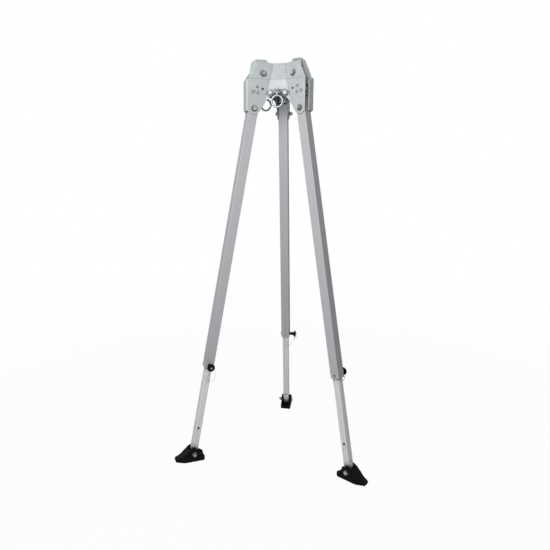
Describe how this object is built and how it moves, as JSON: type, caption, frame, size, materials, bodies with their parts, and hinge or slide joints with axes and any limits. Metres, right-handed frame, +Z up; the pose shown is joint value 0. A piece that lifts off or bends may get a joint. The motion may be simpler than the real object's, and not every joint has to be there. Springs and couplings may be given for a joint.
{
  "type": "rescue tripod",
  "caption": "Rescue tripod with a pressed steel head, swivelling anchor eyes, splayed telescopic square-tube legs with lock pins, and pivoting rubber feet.",
  "frame": {"origin": "point on the ground below the centre of the head", "axes": "+Z up; -Y towards the front plate, between the left and right legs; the rear leg stands on +Y"},
  "size_m": [1.0248, 0.8874, 2.1132],
  "materials": {
    "galvanised_plate": "matte pale grey, galvanised look",
    "bracket_steel": "satin zinc",
    "stop_steel": "dull",
    "zinc_fasteners": "bright zinc",
    "bright_eye": "polished",
    "outer_tube": "satin anodised",
    "inner_tube": "satin, plain",
    "black_plastic": "matte",
    "lanyard_wire": "bare steel wire",
    "rubber": "matte black"
  },
  "bodies": {
    "head": {"head_plate_front": "galvanised_plate", "head_plate_right": "galvanised_plate", "head_plate_left": "galvanised_plate", "head_bolts": "zinc_fasteners", "head_nuts": "zinc_fasteners", "head_washers": "zinc_fasteners", "head_spacers": "zinc_fasteners", "pivot_bolts": "zinc_fasteners", "pivot_nuts": "zinc_fasteners", "leg_stops": "stop_steel", "stop_rivets": "zinc_fasteners", "bracket_bolts": "zinc_fasteners", "anchor_bracket_front": "bracket_steel", "anchor_bracket_right": "bracket_steel", "anchor_bracket_left": "bracket_steel"},
    "eye_front": {"anchor_eye_front": "bright_eye", "eye_nut_front": "zinc_fasteners"},
    "eye_right": {"anchor_eye_right": "bright_eye", "eye_nut_right": "zinc_fasteners"},
    "eye_left": {"anchor_eye_left": "bright_eye", "eye_nut_left": "zinc_fasteners"},
    "leg_left": {"outer_tube_left": "outer_tube", "pivot_bush_left": "zinc_fasteners", "leg_guide_left": "black_plastic", "pin_collar_left": "black_plastic", "leg_screws_left": "zinc_fasteners", "lanyard_left": "lanyard_wire"},
    "pin_left": {"lock_pin_left": "zinc_fasteners", "lock_knob_left": "black_plastic", "lanyard_ring_left": "zinc_fasteners"},
    "inner_left": {"inner_tube_left": "inner_tube", "leg_slider_left": "black_plastic"},
    "foot_left": {"foot_left": "rubber", "foot_bolt_left": "zinc_fasteners"},
    "leg_right": {"outer_tube_right": "outer_tube", "pivot_bush_right": "zinc_fasteners", "leg_guide_right": "black_plastic", "pin_collar_right": "black_plastic", "leg_screws_right": "zinc_fasteners", "lanyard_right": "lanyard_wire"},
    "pin_right": {"lock_pin_right": "zinc_fasteners", "lock_knob_right": "black_plastic", "lanyard_ring_right": "zinc_fasteners"},
    "inner_right": {"inner_tube_right": "inner_tube", "leg_slider_right": "black_plastic"},
    "foot_right": {"foot_right": "rubber", "foot_bolt_right": "zinc_fasteners"},
    "leg_rear": {"outer_tube_rear": "outer_tube", "pivot_bush_rear": "zinc_fasteners", "leg_guide_rear": "black_plastic", "pin_collar_rear": "black_plastic", "leg_screws_rear": "zinc_fasteners", "lanyard_rear": "lanyard_wire"},
    "pin_rear": {"lock_pin_rear": "zinc_fasteners", "lock_knob_rear": "black_plastic", "lanyard_ring_rear": "zinc_fasteners"},
    "inner_rear": {"inner_tube_rear": "inner_tube", "leg_slider_rear": "black_plastic"},
    "foot_rear": {"foot_rear": "rubber", "foot_bolt_rear": "zinc_fasteners"}
  },
  "joints": [
    {"name": "eye_swivel_front", "type": "hinge", "parent": "head", "child": "eye_front", "pos_m": [0, -0.092, 1.93915], "axis": [0, 0, 1], "continuous": true},
    {"name": "eye_swivel_right", "type": "hinge", "parent": "head", "child": "eye_right", "pos_m": [0.07967, 0.046, 1.93915], "axis": [0, 0, 1], "continuous": true},
    {"name": "eye_swivel_left", "type": "hinge", "parent": "head", "child": "eye_left", "pos_m": [-0.07967, 0.046, 1.93915], "axis": [0, 0, 1], "continuous": true},
    {"name": "leg_fold_left", "type": "hinge", "parent": "head", "child": "leg_left", "pos_m": [-0.1299, -0.075, 1.86715], "axis": [0.5, -0.866, 0], "range_deg": [0, 10.3]},
    {"name": "leg_fold_right", "type": "hinge", "parent": "head", "child": "leg_right", "pos_m": [0.1299, -0.075, 1.86715], "axis": [0.5, 0.866, 0], "range_deg": [0, 10.3]},
    {"name": "leg_fold_rear", "type": "hinge", "parent": "head", "child": "leg_rear", "pos_m": [0, 0.15, 1.86715], "axis": [-1, 0, 0], "range_deg": [0, 10.3]},
    {"name": "leg_slide_left", "type": "slide", "parent": "leg_left", "child": "inner_left", "axis": [-0.1548, -0.0894, -0.9839], "range_m": [-0.355, 0.355]},
    {"name": "leg_slide_right", "type": "slide", "parent": "leg_right", "child": "inner_right", "axis": [0.1548, -0.0894, -0.9839], "range_m": [-0.355, 0.355]},
    {"name": "leg_slide_rear", "type": "slide", "parent": "leg_rear", "child": "inner_rear", "axis": [0, 0.1788, -0.9839], "range_m": [-0.355, 0.355]},
    {"name": "pin_slide_left", "type": "slide", "parent": "leg_left", "child": "pin_left", "axis": [0.5, -0.866, 0], "range_m": [-0.0085, 0]},
    {"name": "pin_slide_right", "type": "slide", "parent": "leg_right", "child": "pin_right", "axis": [0.5, 0.866, 0], "range_m": [-0.0085, 0]},
    {"name": "pin_slide_rear", "type": "slide", "parent": "leg_rear", "child": "pin_rear", "axis": [1, 0, 0], "range_m": [-0.0085, 0]},
    {"name": "foot_tilt_left", "type": "hinge", "parent": "inner_left", "child": "foot_left", "pos_m": [-0.41668, -0.24057, 0.045], "axis": [0.5, -0.866, 0], "range_deg": [-25, 25]},
    {"name": "foot_tilt_right", "type": "hinge", "parent": "inner_right", "child": "foot_right", "pos_m": [0.41668, -0.24057, 0.045], "axis": [0.5, 0.866, 0], "range_deg": [-25, 25]},
    {"name": "foot_tilt_rear", "type": "hinge", "parent": "inner_rear", "child": "foot_rear", "pos_m": [0, 0.48114, 0.045], "axis": [-1, 0, 0], "range_deg": [-25, 25]}
  ]
}
